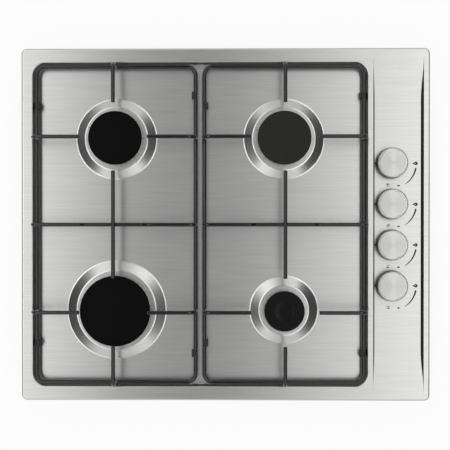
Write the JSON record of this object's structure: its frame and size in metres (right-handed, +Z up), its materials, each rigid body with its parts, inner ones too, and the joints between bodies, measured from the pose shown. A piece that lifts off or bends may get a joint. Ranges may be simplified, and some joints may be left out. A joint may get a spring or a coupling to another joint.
{
  "type": "gas cooktop",
  "caption": "Built-in gas cooktop: pressed steel top with a recessed well, raised burners, wire pan supports and side knobs.",
  "frame": {"origin": "middle of the underside of the bottom casing, under the middle of the top", "axes": "+X to the right (towards the knobs), +Y to the back (towards the gas inlet), +Z up"},
  "size_m": [0.58, 0.5, 0.0828],
  "materials": {
    "aluminium_tube": "drawn tube",
    "black_enamel_cap": "matt vitreous enamel on pressed steel",
    "black_enamel_wire": "glossy vitreous enamel on steel wire",
    "black_moulding": "moulded thermoplastic",
    "black_rubber": "moulded rubber",
    "brass": "machined brass",
    "brushed_stainless": "long-grain brushed stainless sheet",
    "burner_aluminium": "die-cast and turned",
    "cast_aluminium": "die-cast",
    "electrode_wire": "heat-resistant wire",
    "galvanised_steel": "galvanised sheet with a fine spangle",
    "pale_moulding": "moulded thermoplastic",
    "seal_foam": "closed-cell foam strip",
    "silicone_lead": "silicone insulated lead",
    "silver_moulding": "silver lacquered moulding",
    "spun_aluminium": "spun, with circular grain",
    "white_ceramic": "glazed alumina",
    "zinc_screw": "bright zinc plated steel",
    "zinc_tube": "zinc plated tube"
  },
  "bodies": {
    "root": {"bottom_casing": "galvanised_steel", "burner_cup_front_left": "cast_aluminium", "burner_cup_front_right": "cast_aluminium", "burner_cup_rear_left": "cast_aluminium", "burner_cup_rear_right": "cast_aluminium", "burner_screws": "zinc_screw", "cable_grommet": "black_rubber", "casing_lugs": "galvanised_steel", "casing_screws": "zinc_screw", "clamp_screws": "zinc_screw", "electrode_ceramics": "white_ceramic", "electrode_pins": "electrode_wire", "fixing_clamps": "galvanised_steel", "gas_inlet_fitting": "brass", "gas_manifold": "zinc_tube", "gas_tap_1": "brass", "gas_tap_2": "brass", "gas_tap_3": "brass", "gas_tap_4": "brass", "hob_top": "brushed_stainless", "ignition_leads": "silicone_lead", "ignition_switches": "black_moulding", "injectors": "brass", "spark_generator": "black_moulding", "spindle_seals": "black_rubber", "supply_tube_front_left": "aluminium_tube", "supply_tube_front_right": "aluminium_tube", "supply_tube_rear_left": "aluminium_tube", "supply_tube_rear_right": "aluminium_tube", "terminal_block": "pale_moulding", "tube_nuts": "brass", "worktop_seal": "seal_foam"},
    "tap_plug_1": {"tap_plug_1": "brass"},
    "knob_1": {"tap_spindle_1": "zinc_screw", "knob_1": "silver_moulding", "knob_disc_1": "spun_aluminium"},
    "tap_plug_2": {"tap_plug_2": "brass"},
    "knob_2": {"tap_spindle_2": "zinc_screw", "knob_2": "silver_moulding", "knob_disc_2": "spun_aluminium"},
    "tap_plug_3": {"tap_plug_3": "brass"},
    "knob_3": {"tap_spindle_3": "zinc_screw", "knob_3": "silver_moulding", "knob_disc_3": "spun_aluminium"},
    "tap_plug_4": {"tap_plug_4": "brass"},
    "knob_4": {"tap_spindle_4": "zinc_screw", "knob_4": "silver_moulding", "knob_disc_4": "spun_aluminium"},
    "burner_head_rear_left": {"burner_head_rear_left": "burner_aluminium"},
    "burner_cap_rear_left": {"burner_cap_rear_left": "black_enamel_cap"},
    "burner_head_rear_right": {"burner_head_rear_right": "burner_aluminium"},
    "burner_cap_rear_right": {"burner_cap_rear_right": "black_enamel_cap"},
    "burner_head_front_left": {"burner_head_front_left": "burner_aluminium"},
    "burner_cap_front_left": {"burner_cap_front_left": "black_enamel_cap"},
    "burner_head_front_right": {"burner_head_front_right": "burner_aluminium"},
    "burner_cap_front_right": {"burner_cap_front_right": "black_enamel_cap"},
    "pan_support_left": {"pan_support_left": "black_enamel_wire", "pan_support_left_feet": "black_rubber"},
    "pan_support_right": {"pan_support_right": "black_enamel_wire", "pan_support_right_feet": "black_rubber"}
  },
  "joints": [
    {"name": "knob_1_turn", "type": "hinge", "parent": "root", "child": "tap_plug_1", "pos_m": [0.236, 0.087, 0.018], "axis": [0, 0, 1], "range_deg": [0, 180]},
    {"name": "knob_1_push", "type": "slide", "parent": "tap_plug_1", "child": "knob_1", "axis": [0, 0, -1], "range_m": [0, 0.0035], "stiffness_N_per_m": 1400, "springref_m": -0.0036},
    {"name": "knob_2_turn", "type": "hinge", "parent": "root", "child": "tap_plug_2", "pos_m": [0.236, 0.029, 0.018], "axis": [0, 0, 1], "range_deg": [0, 180]},
    {"name": "knob_2_push", "type": "slide", "parent": "tap_plug_2", "child": "knob_2", "axis": [0, 0, -1], "range_m": [0, 0.0035], "stiffness_N_per_m": 1400, "springref_m": -0.0036},
    {"name": "knob_3_turn", "type": "hinge", "parent": "root", "child": "tap_plug_3", "pos_m": [0.236, -0.029, 0.018], "axis": [0, 0, 1], "range_deg": [0, 180]},
    {"name": "knob_3_push", "type": "slide", "parent": "tap_plug_3", "child": "knob_3", "axis": [0, 0, -1], "range_m": [0, 0.0035], "stiffness_N_per_m": 1400, "springref_m": -0.0036},
    {"name": "knob_4_turn", "type": "hinge", "parent": "root", "child": "tap_plug_4", "pos_m": [0.236, -0.087, 0.018], "axis": [0, 0, 1], "range_deg": [0, 180]},
    {"name": "knob_4_push", "type": "slide", "parent": "tap_plug_4", "child": "knob_4", "axis": [0, 0, -1], "range_m": [0, 0.0035], "stiffness_N_per_m": 1400, "springref_m": -0.0036},
    {"name": "burner_head_rear_left_lift", "type": "slide", "parent": "root", "child": "burner_head_rear_left", "axis": [0, 0, 1], "range_m": [0, 0.02]},
    {"name": "burner_cap_rear_left_lift", "type": "slide", "parent": "burner_head_rear_left", "child": "burner_cap_rear_left", "axis": [0, 0, 1], "range_m": [0, 0.03]},
    {"name": "burner_head_rear_right_lift", "type": "slide", "parent": "root", "child": "burner_head_rear_right", "axis": [0, 0, 1], "range_m": [0, 0.02]},
    {"name": "burner_cap_rear_right_lift", "type": "slide", "parent": "burner_head_rear_right", "child": "burner_cap_rear_right", "axis": [0, 0, 1], "range_m": [0, 0.03]},
    {"name": "burner_head_front_left_lift", "type": "slide", "parent": "root", "child": "burner_head_front_left", "axis": [0, 0, 1], "range_m": [0, 0.005]},
    {"name": "burner_cap_front_left_lift", "type": "slide", "parent": "burner_head_front_left", "child": "burner_cap_front_left", "axis": [0, 0, 1], "range_m": [0, 0.005]},
    {"name": "burner_head_front_right_lift", "type": "slide", "parent": "root", "child": "burner_head_front_right", "axis": [0, 0, 1], "range_m": [0, 0.02]},
    {"name": "burner_cap_front_right_lift", "type": "slide", "parent": "burner_head_front_right", "child": "burner_cap_front_right", "axis": [0, 0, 1], "range_m": [0, 0.03]},
    {"name": "pan_support_left_lift", "type": "slide", "parent": "root", "child": "pan_support_left", "axis": [0, 0, 1], "range_m": [0, 0.06]},
    {"name": "pan_support_right_lift", "type": "slide", "parent": "root", "child": "pan_support_right", "axis": [0, 0, 1], "range_m": [0, 0.06]}
  ]
}
